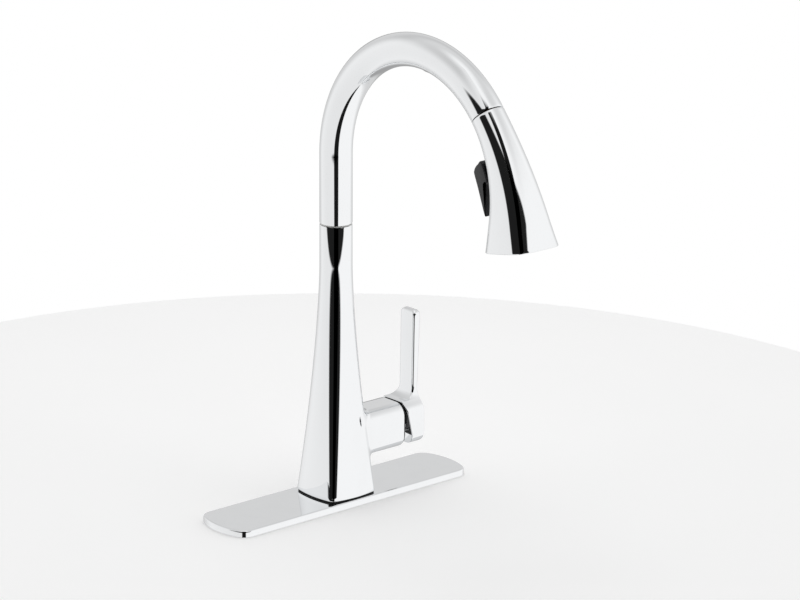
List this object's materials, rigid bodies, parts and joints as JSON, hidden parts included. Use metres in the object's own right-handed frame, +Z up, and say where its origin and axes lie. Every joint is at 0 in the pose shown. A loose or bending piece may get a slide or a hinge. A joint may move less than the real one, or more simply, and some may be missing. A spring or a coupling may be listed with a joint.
{
  "type": "pull-down kitchen faucet",
  "caption": "High-arc pull-down kitchen faucet on a long deck plate, with a side lever, a swivelling spout and a curved spray head with a squeeze trigger.",
  "frame": {"origin": "middle of the deck hole, level with the deck's top face, where the deck gasket rests", "axes": "+Z up out of the deck; the spout arches forward, towards -Y; the valve and its lever are on the +X side; the deck plate runs along X"},
  "size_m": [0.257, 0.2782, 0.5601],
  "materials": {
    "chrome": "polished chrome plate",
    "brass": "machined brass",
    "steel": "machined stainless steel",
    "magnet_black": "dark coated magnet",
    "black_plastic": "fine satin moulded black",
    "gloss_black": "gloss moulded black",
    "grey_plastic": "moulded grey acetal",
    "white_plastic": "moulded natural acetal",
    "black_rubber": "moulded rubber",
    "grey_silicone": "soft moulded silicone",
    "ceramic": "lapped ceramic",
    "braid": "woven nylon braid over a flexible tube"
  },
  "bodies": {
    "root": {"deck_gasket": "black_rubber", "deck_plate_base": "grey_plastic", "deck_plate": "chrome", "body_gasket": "black_rubber", "body_shell": "chrome", "shank": "brass", "valve_block": "brass", "hot_inlet_tube": "brass", "cold_inlet_tube": "brass", "outlet_tube": "brass", "hot_inlet_fitting": "brass", "cold_inlet_fitting": "brass", "outlet_fitting": "brass", "hose_lower_connector": "brass", "cartridge_seal": "black_rubber", "cartridge_base": "white_plastic", "fixed_disc": "ceramic", "cartridge_housing": "white_plastic", "cartridge_nut": "brass", "bonnet_gasket": "black_rubber", "bonnet_dome": "gloss_black", "spout_hub": "brass"},
    "mounting_hardware": {"rubber_washer": "black_rubber", "steel_washer": "steel", "mounting_nut": "brass", "jack_screw_left": "steel", "jack_screw_right": "steel"},
    "temperature_rotor": {"stem_rotor": "grey_plastic", "lift_pin": "steel"},
    "disc_slider": {"moving_disc": "ceramic", "disc_carrier": "grey_plastic"},
    "handle": {"valve_stem": "steel", "handle_lever": "chrome", "handle_set_screw": "steel", "handle_plug": "grey_plastic"},
    "spout": {"spout_tube": "chrome", "spout_vent_plug": "gloss_black", "spout_set_screw": "steel", "lower_glide_ring": "white_plastic", "upper_glide_ring": "white_plastic", "swivel_washer": "white_plastic", "dock_collar": "grey_plastic", "dock_magnet": "magnet_black", "spray_hose": "braid"},
    "hose_end": {"hose_ferrule": "steel", "hose_nipple": "brass", "nipple_o_ring": "black_rubber"},
    "spray_head": {"spray_shell": "chrome", "spray_neck": "brass", "docking_ring": "steel", "spray_core": "white_plastic", "nozzle_mat": "grey_silicone", "spray_face": "black_plastic", "aerator_housing": "chrome", "aerator_screen": "steel", "trigger_pin": "steel"},
    "trigger": {"spray_trigger": "black_plastic"},
    "plunger": {"diverter_plunger": "grey_plastic", "diverter_spring": "steel"}
  },
  "joints": [
    {"name": "mounting_slide", "type": "slide", "parent": "root", "child": "mounting_hardware", "axis": [0, 0, 1], "range_m": [-0.027, 0.024]},
    {"name": "handle_temperature", "type": "hinge", "parent": "root", "child": "temperature_rotor", "pos_m": [0.056, 0, 0.0545], "axis": [1, 0, 0], "range_deg": [-45, 45]},
    {"name": "handle_lift", "type": "hinge", "parent": "temperature_rotor", "child": "handle", "pos_m": [0.056, 0, 0.0545], "axis": [0, 1, 0], "range_deg": [0, 22]},
    {"name": "disc_slide", "type": "slide", "parent": "temperature_rotor", "child": "disc_slider", "axis": [0, 0, 1], "range_m": [0, 0.0038]},
    {"name": "spout_swivel", "type": "hinge", "parent": "root", "child": "spout", "pos_m": [0, 0, 0.2412], "axis": [0, 0, 1], "continuous": true},
    {"name": "spray_pull", "type": "slide", "parent": "spout", "child": "hose_end", "axis": [0, -0.6428, -0.766], "range_m": [0, 0.45], "deforming": ["spray_hose"]},
    {"name": "spray_swivel", "type": "hinge", "parent": "hose_end", "child": "spray_head", "pos_m": [0, -0.18367, 0.36685], "axis": [0, -0.6428, -0.766], "continuous": true},
    {"name": "trigger_squeeze", "type": "hinge", "parent": "spray_head", "child": "trigger", "pos_m": [0, -0.19772, 0.33188], "axis": [-1, 0, 0], "range_deg": [0, 9], "stiffness_Nm_per_rad": 0.4, "springref_deg": -14.32},
    {"name": "plunger_press", "type": "slide", "parent": "spray_head", "child": "plunger", "axis": [0, -0.9076, 0.4198], "range_m": [0, 0.0015], "deforming": ["diverter_spring"]}
  ],
  "couplings": [
    {"joint": "disc_slide", "follows": "handle_lift", "m_per_rad": 0.0095},
    {"joint": "plunger_press", "follows": "trigger_squeeze", "m_per_rad": 0.0092}
  ]
}
